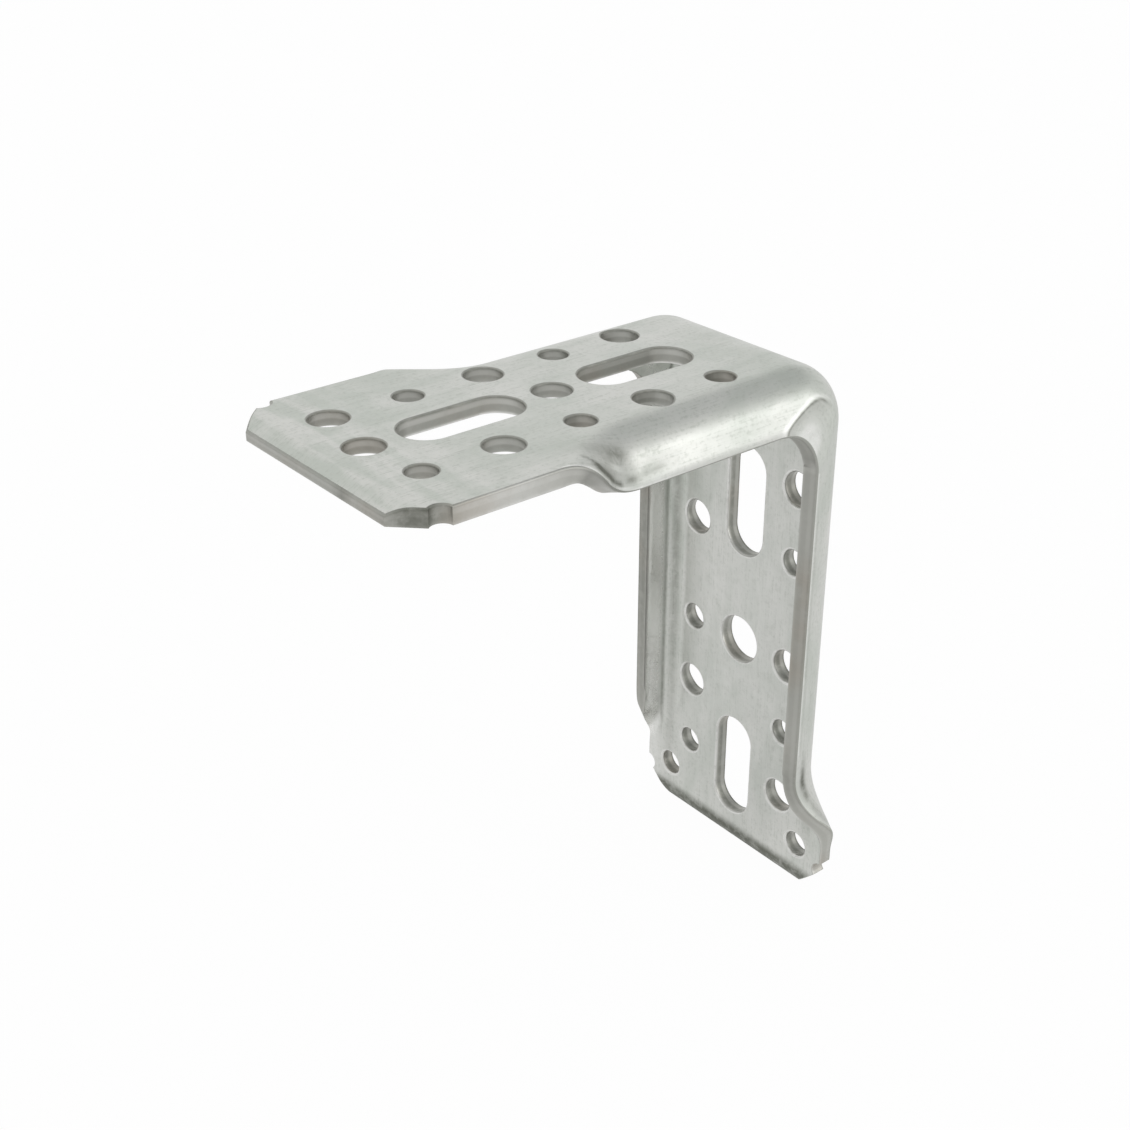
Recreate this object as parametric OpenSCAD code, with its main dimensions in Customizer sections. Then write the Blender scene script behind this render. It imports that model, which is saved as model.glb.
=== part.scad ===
// Angle bracket pressed from one strip of steel: a shelf arm on top and a longer wall arm,
// both with their side edges folded inwards as flanges that run round the corner and fade
// into flat, full-width ears at the two free ends.
//
// Distances along an arm are measured from the outer corner. The axes are X across the
// strip, Y from the shelf arm's free end towards the wall, and Z up. The origin is the
// centre of the wall arm's round bolt hole, in the plane of the wall face.

/* [Strip] */
// Width of the strip at the flat ears
strip_w = 65; // [62:0.5:72]
// Thickness of the sheet
sheet_t = 4; // [3:0.1:4.4]
// Length of the shelf arm, over the outside of the corner
shelf_len = 121.5; // [118:0.5:150]
// Length of the wall arm, over the outside of the corner
wall_len = 143.5; // [141:0.5:180]
// Outer radius of the fold between the arms
fold_r = 15; // [14:0.1:17]

/* [Flanges] */
// Width across the free edges of the two flanges
channel_w = 59.4; // [57:0.1:61]
// Height of a flange, from the outer face to the outer line of its free edge
flange_h = 12.2; // [11:0.1:13]
// Outer radius of the bend from the arm's face into a flange
flange_r = 8.9; // [7:0.1:9.5]
// Angle by which a flange leans outwards from square
flange_lean = 15; // [8:0.5:20]
// Radius of the arch that the two flanges' free edges form at the corner
arch_r = 12.4; // [10:0.1:14]
// Length over which a flange fades into its flat ear
runout_len = 26; // [20:0.5:28]
// Flat length of the ear on the shelf arm
shelf_ear = 33.5; // [30:0.5:40]
// Flat length of the ear on the wall arm
wall_ear = 12.5; // [11:0.5:16]

/* [Pressed corner] */
// Angle by which the flats pressed into the two sides of the corner lean outwards
press_lean = 7.7; // [6.5:0.1:9]

/* [Ear corners] */
// Length of the slanting cut across each ear corner, measured along an edge
corner_cut = 7.4; // [4:0.1:8]
// Radius of the small notch where that cut meets the side edge
notch_r = 2.4; // [1:0.1:2.6]

/* [Screw holes] */
// Distance between the two rows of screw holes
row_gap = 33; // [30:0.5:34]
// Diameter of the large screw holes
large_d = 8.5; // [6:0.1:9]
// Diameter of the small screw holes
small_d = 6.5; // [4:0.1:7]
// Width of the rim that the punch rolled around the outer mouth of each hole and slot
rim_w = 0.5; // [0.2:0.1:0.8]
// Distance between neighbouring screw holes along a row
hole_pitch = 19.2; // [18.5:0.1:19.5]
// First pair of screw holes on the shelf arm, from the wall face
shelf_first = 30.6; // [29:0.1:31]
// First pair of screw holes on the wall arm, from the shelf face
wall_first = 34.6; // [33:0.1:35]
// Distance between the two screw holes in the wall arm's ear
ear_hole_gap = 47.4; // [45:0.1:49]
// Distance of those two holes from the wall arm's free end
ear_hole_in = 11.2; // [10.5:0.1:12]

/* [Slots and middle holes] */
// Width of the four slots
slot_w = 12.2; // [8:0.1:13]
// Length of the four slots, tip to tip
slot_len = 29; // [20:0.1:30]
// First slot along the middle of the shelf arm, from the wall face
shelf_mid_first = 40.2; // [39:0.1:41]
// Distance between neighbouring slots and round holes along the middle of the shelf arm
shelf_mid_pitch = 23.1; // [22.5:0.1:23.3]
// Diameter of the round bolt hole in the wall arm
bolt_d = 12.5; // [8:0.1:14]
// Round bolt hole of the wall arm, from the shelf face
wall_bolt = 82.1; // [81.5:0.1:83]

/* [Hidden] */
$fn = 72;

// How far cutters reach past the faces that they cut, and a gap too small to be seen, which
// keeps two faces from meeting in one plane
over = 1;
hair = 0.02;

// A flange's bend, its flat part and the edge of the flat web between the two bends
bend_angle = 90 - flange_lean;
flange_flat = (flange_h - flange_r * (1 - cos(bend_angle))) / sin(bend_angle);
web_half = channel_w / 2 - flange_r * sin(bend_angle) - flange_flat * cos(bend_angle);
// Sheet used by the bend, and by the whole flange, at the middle of its thickness
bend_sheet = (flange_r - sheet_t / 2) * bend_angle * PI / 180;
flange_sheet = bend_sheet + flange_flat;

// The wall that closes the corner between the flanges reaches a little way into them. Its
// outer face is the pressed flat, which leaves the flanges where the arch of the free edge
// starts, a hair outside them.
arch_at = flange_h + arch_r;
side_lap = 1.2;
press_at = (arch_at + flange_h) / 2;
press_out = channel_w / 2 + 2 * hair;

// Rows of the mesh along a run-out, and columns across it. Its first row lies inside the
// exact flange, back from its end and in from its faces, so that the two join cleanly.
rows = 14;
cols = 12;
tuck_back = 0.5;
tuck_in = 0.05;

// Screw holes along a row, in pitches from the first. The wall arm's rows are half a pitch
// longer in the middle, beside the bolt hole.
shelf_steps = [0, 1, 2, 3, 4];
wall_steps = [0, 1, 2.5, 3.5, 4.5];

function smooth(k) = k * k * (3 - 2 * k);
function mix(a, b, k) = a + (b - a) * k;

// Share of a flange that is still bent at the fraction k of the run-out
function share(k) = 1 - smooth(pow(min(max(k, 0), 1), 1.3));
// Half width of the flattened strip there, and the distance of the bend line from the middle
function blank_half(k) = mix(strip_w / 2, web_half + flange_sheet, share(k));
function line_at(k) = blank_half(k) - flange_sheet * share(k);
// Distance past the bend line of a point at the fraction v from the web's edge to the
// strip's edge, and the angle through which the sheet is bent there
function past(v, k) = mix(web_half, blank_half(k), v) - line_at(k);
function bend(v, k) = bend_angle * min(max(past(v, k), 0) / bend_sheet, 1);
function flat_run(v, k) = max(past(v, k) - bend_sheet, 0);
function skin(v, k) = [
    line_at(k) + min(past(v, k), 0) + flange_r * sin(bend(v, k))
        + flat_run(v, k) * cos(bend_angle),
    -k * runout_len,
    flange_r * (cos(bend(v, k)) - 1) - flat_run(v, k) * sin(bend_angle)];
// Direction square to the skin. At both ends of the run-out it has no part along the arm.
function slope(v, k, e = 0.0005) =
    cross(skin(v, k) - skin(v, k - e), skin(v, k) - skin(v - e, k));
function square_to(v, k) = (k <= 0 || k >= 1)
    ? [sin(bend(v, k)), 0, cos(bend(v, k))]
    : slope(v, k) / norm(slope(v, k));
// Point of the mesh in row i and column j, on the outer face or on the inner one
function row_point(i, j, depth) =
    let (pull = i == 0 ? tuck_in : 0,
        v = j / cols * (1 - pull / flange_sheet),
        k = i / rows)
    skin(v, k) - (depth == 0 ? pull : depth - pull) * square_to(v, k)
        + [0, i == 0 ? tuck_back : 0, 0];

// Half of an arm's section, with its outer face along the top. The flange's flat part is
// thinner by a hair and starts inside the bend, so that the two join without a seam.
module half_section() {
    inner_r = flange_r - sheet_t;
    translate([0, -sheet_t]) square([web_half, sheet_t]);
    translate([web_half, -flange_r]) {
        intersection() {
            difference() {
                circle(flange_r);
                circle(inner_r);
            }
            polygon([[0, 0], [0, 2 * flange_r], [2 * flange_r, 2 * flange_r],
                [2 * flange_r, 2 * flange_r * tan(flange_lean)]]);
        }
        rotate(flange_lean) translate([inner_r + hair, -flange_flat])
            square([sheet_t - 2 * hair, flange_flat + 15 * hair]);
    }
}

module section() {
    half_section();
    mirror([1, 0]) half_section();
}

// One side's run-out, from the full flange at y = 0 to the flat ear
module run_out() {
    outer = [for (i = [0:rows], j = [0:cols]) row_point(i, j, 0)];
    inner = [for (i = [0:rows], j = [0:cols]) row_point(i, j, sheet_t)];
    n = cols + 1;
    m = len(outer);
    top = [for (i = [0:rows - 1], j = [0:cols - 1], k = [0:1]) let (a = i * n + j)
        k == 0 ? [a, a + 1, a + n + 1] : [a, a + n + 1, a + n]];
    sides = [for (i = [0:rows - 1], k = [0:1], side = [0, 1])
        let (a = i * n + side * cols, b = a + n, q = [[a, b, b + m, a + m], [a, a + m, b + m, b]][side])
        k == 0 ? [q[0], q[1], q[2]] : [q[0], q[2], q[3]]];
    ends = [for (j = [0:cols - 1], k = [0:1], end = [0, 1])
        let (a = end * rows * n + j, b = a + 1, q = [[a, a + m, b + m, b], [a, b, b + m, a + m]][end])
        k == 0 ? [q[0], q[1], q[2]] : [q[0], q[2], q[3]]];
    polyhedron(
        concat(outer, inner),
        concat(top, [for (f = top) [f[0] + m, f[2] + m, f[1] + m]], sides, ends),
        convexity = 4);
}

// Outline of an arm's flat sheet from the start of its run-outs to its free end
module ear_outline(start, flat, end) {
    difference() {
        polygon([
            [-web_half, -start], [-web_half, -flat], [-strip_w / 2, -flat],
            [-strip_w / 2, corner_cut - end], [corner_cut - strip_w / 2, -end],
            [strip_w / 2 - corner_cut, -end], [strip_w / 2, corner_cut - end],
            [strip_w / 2, -flat], [web_half, -flat], [web_half, -start]]);
        for (side = [-1, 1])
            translate([side * strip_w / 2, corner_cut - end]) circle(notch_r);
    }
}

// An arm that lies along -Y with its outer face up
module arm(length, ear) {
    flat = length - ear;
    start = flat - runout_len;
    translate([0, -fold_r, 0]) rotate([90, 0, 0]) linear_extrude(start - fold_r) section();
    translate([0, 0, -sheet_t]) linear_extrude(sheet_t) ear_outline(start, flat, length);
    translate([0, -start, 0]) {
        run_out();
        mirror([1, 0, 0]) run_out();
    }
}

// The folded corner between the arms, with the side walls that close it
module corner() {
    translate([0, -fold_r, -fold_r]) rotate([0, -90, 0]) rotate_extrude(angle = 90)
        translate([fold_r, 0]) mirror([1, -1]) section();
    for (side = [0, 1]) mirror([side, 0, 0]) intersection() {
        rotate([90, 0, 90]) linear_extrude(channel_w) side_wall();
        pressed_flat() translate([-sheet_t, 0, 0]) plate(arch_at);
        inside_flange();
        on_wall() inside_flange();
    }
}

module side_wall() {
    difference() {
        translate([-arch_at, -arch_at]) square(arch_r + side_lap);
        translate([-arch_at, -arch_at]) circle(arch_r);
    }
}

// Everything that lies inside the outer face of the shelf arm's flange, by a hair
module inside_flange() {
    translate([channel_w / 2 - hair, -press_at, -flange_h]) rotate([0, -flange_lean, 0])
        translate([-channel_w, 0, 0]) plate(arch_at, channel_w);
}

// Puts a plate's near face on the pressed flat
module pressed_flat() {
    translate([press_out, -press_at, -press_at]) rotate(press_lean, [0, -1, 1]) children();
}

// A square plate, from x = 0 outwards
module plate(reach, thick = sheet_t) {
    translate([0, -reach, -reach]) cube([thick, 2 * reach, 2 * reach]);
}

// The punches that press a flat into each side of the corner
module corner_punches() {
    for (side = [0, 1]) mirror([side, 0, 0]) pressed_flat() plate(press_at + over);
}

// Cutters for an arm's face, at the distance from the corner
module round_hole(x, at, d) {
    translate([x, -at, 0]) {
        translate([0, 0, -sheet_t - over]) cylinder(h = sheet_t + 2 * over, d = d);
        translate([0, 0, -rim_w]) cylinder(h = rim_w + over, r1 = d / 2, r2 = d / 2 + rim_w + over);
    }
}

module slot(at) {
    straight = slot_len - slot_w;
    mouth = slot_w / 2 + rim_w + over;
    translate([0, -at, 0]) {
        translate([0, 0, -sheet_t - over]) linear_extrude(sheet_t + 2 * over) {
            square([slot_w, straight], center = true);
            for (side = [-1, 1]) translate([0, side * straight / 2]) circle(d = slot_w);
        }
        for (side = [-1, 1]) translate([0, side * straight / 2, -rim_w])
            cylinder(h = rim_w + over, r1 = slot_w / 2, r2 = mouth);
        rotate([90, 0, 0]) linear_extrude(straight, center = true)
            polygon([[-slot_w / 2, -rim_w], [slot_w / 2, -rim_w], [mouth, over], [-mouth, over]]);
    }
}

// Two rows of screw holes, large and small by turns. The row on large_side starts large.
module screw_rows(first, steps, large_side) {
    for (i = [0:len(steps) - 1], side = [-1, 1])
        round_hole(side * row_gap / 2, first + steps[i] * hole_pitch,
            (i + (side == large_side ? 0 : 1)) % 2 == 0 ? large_d : small_d);
}

module shelf_holes() {
    screw_rows(shelf_first, shelf_steps, -1);
    for (i = [0, 2]) slot(shelf_mid_first + i * shelf_mid_pitch);
    for (i = [1, 3]) round_hole(0, shelf_mid_first + i * shelf_mid_pitch, large_d);
}

module wall_holes() {
    screw_rows(wall_first, wall_steps, 1);
    for (side = [-1, 1]) {
        slot(wall_bolt + side * 2 * hole_pitch);
        round_hole(side * ear_hole_gap / 2, wall_len - ear_hole_in, small_d);
    }
    round_hole(0, wall_bolt, bolt_d);
}

// Turns a piece of a shelf-like arm into the same piece of the wall arm
module on_wall() {
    mirror([0, 1, -1]) children();
}

module bracket() {
    color([0.66, 0.67, 0.64]) translate([0, 0, wall_bolt]) difference() {
        union() {
            arm(shelf_len, shelf_ear);
            on_wall() arm(wall_len, wall_ear);
            corner();
        }
        corner_punches();
        shelf_holes();
        on_wall() wall_holes();
    }
}

bracket();
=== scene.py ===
"""Dresses a pressed steel angle bracket and sets it before a plain pale backdrop.

The bracket is one strip of sheet steel. Its flat blank, with every hole, slot and cut corner,
is meshed in two coordinates, u across the strip and q along it, and one formula folds that
mesh into the bracket. The shape functions measure from the outer corner of the fold, in
metres, and the mesh is moved to the frame's origin as it is written.
"""

import math

import bpy
import numpy as np
from bpy.props import FloatProperty, FloatVectorProperty, PointerProperty
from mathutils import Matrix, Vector
from mathutils.geometry import delaunay_2d_cdt


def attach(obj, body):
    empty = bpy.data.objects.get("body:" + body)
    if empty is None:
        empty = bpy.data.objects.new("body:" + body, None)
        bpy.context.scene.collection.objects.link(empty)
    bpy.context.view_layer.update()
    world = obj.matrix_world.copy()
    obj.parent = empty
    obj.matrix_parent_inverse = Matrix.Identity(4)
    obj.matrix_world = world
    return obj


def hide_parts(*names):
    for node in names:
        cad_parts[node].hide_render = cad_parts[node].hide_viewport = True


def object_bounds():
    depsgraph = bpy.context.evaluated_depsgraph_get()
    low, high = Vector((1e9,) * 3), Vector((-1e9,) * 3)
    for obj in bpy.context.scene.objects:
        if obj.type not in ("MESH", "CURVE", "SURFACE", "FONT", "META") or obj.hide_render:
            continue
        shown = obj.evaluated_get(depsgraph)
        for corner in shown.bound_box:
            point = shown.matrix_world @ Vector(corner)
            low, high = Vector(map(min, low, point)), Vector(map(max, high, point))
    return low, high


bl_info = {
    "name": "Angle Bracket",
    "version": (1, 0, 0),
    "blender": (4, 5, 0),
    "location": "View3D > Sidebar > Bracket",
    "description": "Builds a pressed, zinc coated steel angle bracket and its plain stage",
    "category": "Object",
}

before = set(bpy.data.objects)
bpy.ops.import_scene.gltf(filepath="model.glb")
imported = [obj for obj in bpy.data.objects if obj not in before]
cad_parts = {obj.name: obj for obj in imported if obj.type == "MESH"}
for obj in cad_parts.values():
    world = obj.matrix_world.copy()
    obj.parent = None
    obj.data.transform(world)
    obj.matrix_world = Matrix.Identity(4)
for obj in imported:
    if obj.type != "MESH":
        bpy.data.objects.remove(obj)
CAD_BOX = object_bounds()
MM = 0.001
TINY = 1e-15

# how sharp the pressed flat's crease is, how far the flat reaches past the corner, and the
# power that sets how late a run-out starts to fade
CREASE = 0.05 * MM
PRESS_REACH = 4 * MM
RUNOUT_POWER = 1.3
# steps over which slopes are measured
PROBE = 0.02 * MM
ROLL_PROBE = 0.05 * MM
# how far the inner face is set back from the cut faces
BURR = 0.2 * MM
# a hole of a larger radius is a slot or the bolt hole
WIDE_HOLE = 5 * MM

# spacing of the mesh's rows along the strip in millimetres, the length of the fine rows at the
# foot, and the spacing and reach of its columns
SHELF_EAR_ROWS = 3.0
WALL_EAR_ROWS = 2.0
FLAT_ROWS = 2.5
FINE_ROWS = 0.7
CORNER_ROWS = 0.45
FOOT_FINE = 6
FINE_COLUMNS = 0.45
WIDE_COLUMNS = 4.3
WIDE_COUNT = 4
FINE_BEFORE = 0.6
FINE_PAST = 3
# how far the lattice stays from the sides, the ends, the slanting cuts and round edges, in
# millimetres, and how much more a set-back counts across a slanting cut
CLEAR_SIDE = 0.2
CLEAR_END = 0.6
CLEAR_CUT = 0.8
CLEAR_ROUND = 0.3
SLANT = 1.5
# points on the outlines, and rows on the rolled and the straight parts of a cut face
SLOT_POINTS = 60
HOLE_POINTS = 48
NOTCH_POINTS = 15
CUT_POINTS = 7
END_POINTS = 15
ROLL_ROWS = 6
FACE_ROWS = 12
# the mesher's tolerance in millimetres, the doubled area under which a triangle is dropped, the
# reach round a hole in which triangles are tested, and the distance within which points weld
MESH_TOLERANCE = 1e-6
SLIVER = 1e-6 * MM * MM
AROUND_HOLE = 4
WELD = 0.01 * MM
# decimetres in a metre, for the blank's map
DECIMETRES = 10


def length(name, value, text, top=0.2):
    """A length that the sidebar can change, given here in millimetres."""
    return FloatProperty(name=name, description=text, default=value * MM, min=0.1 * MM, max=top,
                         precision=5, unit="LENGTH", subtype="DISTANCE")


def angle(name, value, text):
    """An angle that the sidebar can change, given here in degrees."""
    return FloatProperty(name=name, description=text, default=math.radians(value), min=0,
                         max=math.pi / 4, unit="ROTATION", subtype="ANGLE")


def share(name, value, text, top=1.0):
    """A plain number that the sidebar can change."""
    return FloatProperty(name=name, description=text, default=value, min=0, max=top, subtype="FACTOR")


def tone(name, value, text):
    """A colour that the sidebar can change."""
    return FloatVectorProperty(name=name, description=text, default=value, size=3, min=0, max=1,
                               subtype="COLOR")


class BracketSheet(bpy.types.PropertyGroup):
    """The strip of sheet and the way it is folded."""

    strip_w: length("Strip width", 65.0, "Width of the strip at the flat ears")
    sheet_t: length("Sheet thickness", 4.0, "Thickness of the steel")
    shelf_len: length("Shelf arm", 121.5, "Length of the shelf arm over the corner")
    wall_len: length("Wall arm", 143.5, "Length of the wall arm over the corner")
    fold_r: length("Fold radius", 15.0, "Outer radius of the fold between the arms")
    channel_w: length("Channel width", 59.4, "Width across the flanges' free edges")
    flange_h: length("Flange height", 12.2, "Height of a flange from the outer face")
    flange_r: length("Flange bend", 8.9, "Outer radius of the bend into a flange")
    flange_lean: angle("Flange lean", 15.0, "Outward lean of a flange from square")
    coin_w: length("Coined band", 2.4, "Width of the flattened band along a flange's free edge")
    coin_in: length("Coined depth", 0.3, "How far that band is pressed in at the free edge")
    arch_r: length("Corner arch", 12.4, "Radius of the flanges' free edge at the corner")
    press_lean: angle("Pressed flat's lean", 7.7, "Outward lean of the flats pressed into the corner")
    runout_len: length("Run-out", 26.0, "Length over which a flange fades into its ear")
    shelf_ear: length("Shelf ear", 33.5, "Flat length of the shelf arm's ear")
    wall_ear: length("Wall ear", 12.5, "Flat length of the wall arm's ear")
    corner_cut: length("Corner cut", 7.4, "Slanting cut across each ear corner")
    notch_r: length("Notch", 2.4, "Radius of the notch beside each corner cut")
    shear_roll: length("Sheared edge", 0.45, "Width of the rounding that the shear left on an edge")
    end_roll: length("Free end's roll", 4.2, "Width of the rolled down band along the shelf arm's free end")
    end_drop: length("Free end's drop", 1.9, "How far that band is rolled down at the free end")
    foot_roll: length("Foot's roll", 3.6, "Width of the rolled band inside the wall arm's free end")
    foot_drop: length("Foot's drop", 1.2, "Depth of that band at the free end")


class BracketHoles(bpy.types.PropertyGroup):
    """What is punched through the strip."""

    row_gap: length("Row distance", 33.0, "Distance between the two rows of screw holes")
    large_d: length("Large holes", 8.5, "Diameter of the large screw holes")
    small_d: length("Small holes", 6.5, "Diameter of the small screw holes")
    hole_pitch: length("Hole pitch", 19.2, "Distance between neighbouring holes along a row")
    shelf_first: length("First shelf holes", 30.6, "First pair of screw holes from the wall face")
    wall_first: length("First wall holes", 34.6, "First pair of screw holes from the shelf face")
    ear_hole_gap: length("Ear hole distance", 47.4, "Distance between the wall ear's two holes")
    ear_hole_in: length("Ear hole inset", 11.2, "Distance of those holes from the free end")
    slot_w: length("Slot width", 12.2, "Width of the four slots")
    slot_len: length("Slot length", 29.0, "Length of the four slots")
    middle_first: length("First shelf slot", 40.2, "First slot of the shelf arm from the wall face")
    middle_pitch: length("Middle pitch", 23.1, "Distance between slots and holes along the middle")
    bolt_d: length("Bolt hole", 12.5, "Diameter of the wall arm's bolt hole")
    wall_bolt: length("Bolt hole's place", 82.1, "Bolt hole from the shelf face")
    rim_w: length("Rim width", 0.45, "Width of the cone that the punch broke out of a rim")
    rim_h: length("Rim depth", 0.6, "Depth of that cone")
    lip_w: length("Lip width", 2.0, "Width of the rounded lip under a screw hole of the shelf arm")
    lip_h: length("Lip height", 1.4, "Height of that lip")
    wall_lip: length("Wall lip", 0.7, "Width and height of the lip inside the wall arm's screw holes")
    slot_lip: length("Slot's lip", 0.45, "Width and height of the lip inside a slot")


class BracketFinish(bpy.types.PropertyGroup):
    """Colours and gloss of the zinc coating, and the light on it."""

    zinc: tone("Zinc", (0.60, 0.605, 0.575), "Colour of the rolled and coated faces")
    dull: tone("Dull zinc", (0.48, 0.51, 0.465), "Colour of the duller smears")
    sheared: tone("Sheared steel", (0.43, 0.43, 0.40), "Colour of sheared and punched faces")
    stain: tone("Stain", (0.38, 0.34, 0.29), "Brownish tint on parts of the sheared edges")
    fleck: tone("Fleck", (0.40, 0.42, 0.38), "Colour of the fine specks and drawing lines")
    # this colour also paints shade: rim lines, the crease, the bend lines, the foot band and the darker marks
    smudge_and_shade: tone("Smudge", (0.16, 0.165, 0.14), "Colour of the dark smudges")
    # this colour also paints light: highlights on edges, the arch band and the holes' lips, and lighter inner
    # faces
    rubbed_and_highlight: tone("Rubbed zinc", (0.86, 0.86, 0.84), "Colour of the places rubbed bright")
    floor: tone("Floor", (0.9, 0.9, 0.9), "Colour of the floor")
    rough: share("Roughness", 0.36, "Mean roughness of the zinc")
    metal: share("Metallic", 0.92, "How metallic the zinc is")
    side_light: share("Side light", 1.9, "Power of the softbox beside the bracket, W", 50)


def smooth(k):
    """Smooth step: 3 k squared less 2 k cubed, with k held between 0 and 1."""
    k = np.clip(k, 0, 1)
    return k * k * (3 - 2 * k)


def bell(k):
    """The exponential of less k squared."""
    return np.exp(-k ** 2)


def soft_min(a, b, width):
    """The lesser of a and b, with the corner between them rounded over about that width."""
    return a - width * np.logaddexp(0, (a - b) / width)


def unit(v):
    """Each vector divided by its length."""
    return v / np.maximum(np.linalg.norm(v, axis=-1, keepdims=True), TINY)


class Strip:
    """The strip's form worked out from the sizes. p is the distance along the strip from the
    corner's diagonal, and q is p on the wall arm and -p on the shelf arm."""

    def __init__(self, sheet):
        self.s = s = sheet
        self.turn = math.pi / 2 - s.flange_lean
        self.flat = (s.flange_h - s.flange_r * (1 - math.cos(self.turn))) / math.sin(self.turn)
        self.web = s.channel_w / 2 - s.flange_r * math.sin(self.turn) - self.flat * math.cos(self.turn)
        self.mid_r = s.flange_r - s.sheet_t / 2
        self.bent = self.mid_r * self.turn
        self.flange = self.bent + self.flat
        self.arch_at = s.flange_h + s.arch_r
        self.arc = s.fold_r * math.pi / 4
        self.zone = self.arch_at - s.fold_r + self.arc
        self.shelf_flat = s.shelf_len - s.shelf_ear
        self.wall_flat = s.wall_len - s.wall_ear
        self.ends = (-self.along(s.shelf_len), self.along(s.wall_len))

    def along(self, reach):
        """Distance along the strip of a place that far from the outer corner on an arm."""
        return self.zone + reach - self.arch_at

    def bent_share(self, q):
        """Share of a flange that is still bent: 1 less a smooth step of k to a power, where k
        goes from 0 to 1 along the run-out."""
        end = np.where(q < 0, self.along(self.shelf_flat), self.along(self.wall_flat))
        start = end - self.s.runout_len
        return 1 - smooth(np.clip((np.abs(q) - start) / self.s.runout_len, 0, 1) ** RUNOUT_POWER)

    def half(self, q):
        """Half width of the flattened strip."""
        f = self.bent_share(q)
        return self.s.strip_w / 2 * (1 - f) + (self.web + self.flange) * f

    def section(self, u, q):
        """Distance x from the middle, the pressed flat's x, and the distances from both outer
        faces. Across the strip it runs flat to the bend line, round the bend by the sheet's
        length over its middle radius, then straight, and is coined inwards by a parabola along
        the free edge. Along the strip each arm is straight and the corner is a quarter turn
        about the fold's axis. There the flange's flat is ruled from the end of the bend to the
        arch of the free edge, and the pressed flat is a plane that leans outwards."""
        s = self.s
        p = np.abs(q)
        line = self.half(q) - self.flange * self.bent_share(q)
        past = np.abs(u) - line
        th = np.clip(past / self.mid_r, 0, self.turn)
        run = np.maximum(past - self.bent, 0)
        x = line + np.minimum(past, 0) + s.flange_r * np.sin(th)
        h = s.flange_r * (1 - np.cos(th))
        swing = math.pi / 4 * np.clip(1 - p / self.arc, 0, 1)
        near = np.where(p >= self.arc, s.fold_r + p - self.arc, s.fold_r - (s.fold_r - h) * np.sin(swing))
        deep = np.where(p >= self.arc, h, s.fold_r - (s.fold_r - h) * np.cos(swing))
        swing = math.pi / 4 * np.clip(1 - p / self.zone, 0, 1)
        corner = p < self.zone
        far_near = np.where(corner, self.arch_at - s.arch_r * np.sin(swing), near)
        far_deep = deep + self.flat * math.sin(self.turn)
        far_deep = np.where(corner, self.arch_at - s.arch_r * np.cos(swing), far_deep)
        w = run / self.flat
        rise_near, rise_deep = (far_near - near) * w, (far_deep - deep) * w
        x = x + np.hypot(rise_near, rise_deep) / math.tan(self.turn)
        x = x - s.coin_in * np.clip(1 - (self.flat - run) / s.coin_w, 0, 1) ** 2
        near, deep = near + rise_near, deep + rise_deep
        beyond = (near + deep - self.arch_at - s.flange_h) / math.sqrt(2)
        plane = s.channel_w / 2 + beyond * math.tan(s.press_lean)
        plane = np.where(p < self.zone + PRESS_REACH, plane, s.channel_w)
        return x, plane, near, deep

    def fold(self, u, q):
        """Place of the outer face at u, q: the section with its flats pressed in the corner."""
        x, plane, near, deep = self.section(u, q)
        x = np.sign(u) * soft_min(x, plane, CREASE)
        return np.stack([x, np.where(q > 0, -deep, -near), np.where(q > 0, -near, -deep)], -1)

    def pressed_in(self, u, q):
        """How deep the flat is pressed in at u, q, and less than nothing beyond its crease."""
        x, plane, _, _ = self.section(u, q)
        return x - plane

    def sunk(self, q):
        """Depth of the outer face and of the inner face below the unrolled outer face. Along the
        shelf arm's free end the outer face drops by a parabola, and along the wall arm's free
        end the inner face rises by one."""
        s = self.s
        outer = s.end_drop * np.clip(1 - (q - self.ends[0]) / s.end_roll, 0, 1) ** 2
        return outer, s.sheet_t - s.foot_drop * np.clip(1 - (self.ends[1] - q) / s.foot_roll, 0, 1) ** 2

    def faced(self, u, q):
        """The place, the outward direction, and the directions along u and along q. The outward
        one is the cross product of the slopes along u and q."""
        du = self.fold(u + PROBE, q) - self.fold(u - PROBE, q)
        dq = self.fold(u, q + PROBE) - self.fold(u, q - PROBE)
        return self.fold(u, q), unit(np.cross(du, dq)), unit(du), unit(dq)


def ring(hole, count):
    """A circle's or a slot's outline as a function of how far it is set out, with directions
    into the hole: two half circles whose centres lie a reach either side of the middle."""
    u, q, radius, reach = hole
    t = (np.arange(count) + 0.5) / count * 2 * math.pi
    out = np.stack([np.cos(t), np.sin(t)], -1)
    shift = np.stack([0 * t, np.where(np.sin(t) > 0, reach, -reach)], -1)
    return lambda e: np.array([u, q]) + shift + (radius + e) * out, -out


SHELF_STEPS = (0, 1, 2, 3, 4)
WALL_STEPS = (0, 1, 2.5, 3.5, 4.5)


def punched(strip, h):
    """Every hole and slot as (u, q, radius, distance from the middle to an end's centre). Two
    rows of large and small holes by turns lie beside the slots and round holes of the middle."""
    s, holes = strip.s, []
    for arm, first, steps in ((-1, h.shelf_first, SHELF_STEPS), (1, h.wall_first, WALL_STEPS)):
        for i, step in enumerate(steps):
            q = arm * strip.along(first + step * h.hole_pitch)
            for side in (-1, 1):
                width = h.large_d if (i + (side != arm)) % 2 == 0 else h.small_d
                holes.append((side * h.row_gap / 2, q, width / 2, 0))
    reach = (h.slot_len - h.slot_w) / 2
    for i in range(4):
        q = -strip.along(h.middle_first + i * h.middle_pitch)
        holes.append((0, q, h.slot_w / 2, reach) if i % 2 == 0 else (0, q, h.large_d / 2, 0))
    for side in (-1, 1):
        holes.append((0, strip.along(h.wall_bolt + side * 2 * h.hole_pitch), h.slot_w / 2, reach))
        holes.append((side * h.ear_hole_gap / 2, strip.along(s.wall_len - h.ear_hole_in), h.small_d / 2, 0))
    holes.append((0, strip.along(h.wall_bolt), h.bolt_d / 2, 0))
    return holes


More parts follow.
